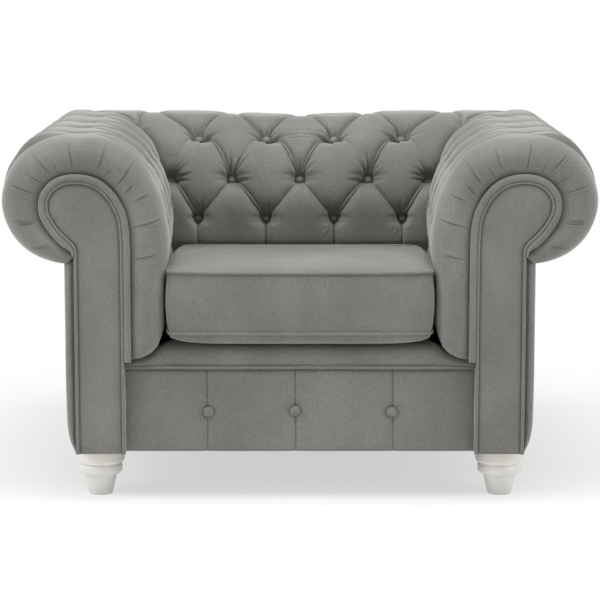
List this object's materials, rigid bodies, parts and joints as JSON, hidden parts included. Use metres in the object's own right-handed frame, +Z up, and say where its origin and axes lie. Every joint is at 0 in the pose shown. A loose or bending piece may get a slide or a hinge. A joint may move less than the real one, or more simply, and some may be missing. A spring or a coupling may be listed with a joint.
{
  "type": "chesterfield armchair",
  "caption": "Deep-buttoned chesterfield armchair in grey velvet: rolled arms and back of one height, flat scroll fronts, loose piped seat cushion, turned feet in off-white paint.",
  "frame": {"origin": "on the floor, under the middle of the chair's overall length and depth", "axes": "X across the chair, positive towards the right as seen from the front; Y from front to back, so the chair faces -Y; Z up"},
  "size_m": [1.1412, 0.8798, 0.7127],
  "materials": {
    "velvet_button": "velvet-covered button, warm mid grey",
    "velvet": "short-pile woven velvet, warm mid grey, pile brightening towards the edges of each form",
    "frame_wood": "sawn softwood and plywood, unfinished",
    "fibreboard": "hard-pressed fibreboard, smooth",
    "foam": "upholstery foam with wadding, off-white",
    "velvet_piping": "bias-cut velvet over a cord, warm mid grey",
    "zip_tape": "woven zip tape with nylon coils, grey",
    "deck_cloth": "plain grey platform cloth over wadding",
    "dust_cloth": "black non-woven cloth, matt",
    "steel": "bright drawn steel",
    "foot_paint": "off-white satin paint over turned wood",
    "clip_plastic": "white moulded plastic",
    "felt": "needled felt",
    "zip_metal": "die-cast slider, dark grey enamel"
  },
  "bodies": {
    "chair_frame": {"arm_buttons_left": "velvet_button", "arm_buttons_right": "velvet_button", "arm_facing_left": "velvet", "arm_facing_right": "velvet", "arm_pad_left": "velvet", "arm_pad_right": "velvet", "arm_rails_left": "frame_wood", "arm_rails_right": "frame_wood", "arm_rib_middle_left": "frame_wood", "arm_rib_middle_right": "frame_wood", "arm_rib_rear_left": "frame_wood", "arm_rib_rear_right": "frame_wood", "arm_skin_left": "fibreboard", "arm_skin_right": "fibreboard", "arm_stump_left": "frame_wood", "arm_stump_right": "frame_wood", "back_buttons": "velvet_button", "back_pad": "velvet", "back_rails": "frame_wood", "back_rib_left": "frame_wood", "back_rib_middle": "frame_wood", "back_rib_right": "frame_wood", "back_skin": "fibreboard", "corner_blocks": "frame_wood", "corner_post_left": "frame_wood", "corner_post_right": "frame_wood", "deck_pad": "deck_cloth", "dust_cover": "dust_cloth", "facing_band_left": "velvet", "facing_band_right": "velvet", "facing_piping_left": "velvet_piping", "facing_piping_right": "velvet_piping", "foot_bolts": "steel", "foot_front_left": "foot_paint", "foot_front_right": "foot_paint", "foot_plates": "steel", "foot_rear_left": "foot_paint", "foot_rear_right": "foot_paint", "front_border": "velvet", "front_border_piping": "velvet_piping", "front_buttons": "velvet_button", "front_lip": "velvet", "front_rail": "frame_wood", "outside_arm_left": "velvet", "outside_arm_right": "velvet", "outside_back": "velvet", "rear_rail": "frame_wood", "seat_springs": "steel", "side_rail_left": "frame_wood", "side_rail_right": "frame_wood", "spring_clips": "clip_plastic", "spring_felt": "felt"},
    "seat_cushion": {"cushion_bottom_cover": "velvet", "cushion_boxing": "velvet", "cushion_core": "foam", "cushion_piping": "velvet_piping", "cushion_top_cover": "velvet", "cushion_zip": "zip_tape"},
    "zip_slider": {"zip_slider": "zip_metal"}
  },
  "joints": [
    {"name": "cushion_out", "type": "slide", "parent": "chair_frame", "child": "seat_cushion", "axis": [0, -1, 0], "range_m": [0, 0.6]},
    {"name": "zip_run", "type": "slide", "parent": "seat_cushion", "child": "zip_slider", "axis": [1, 0, 0], "range_m": [0, 0.372]}
  ]
}
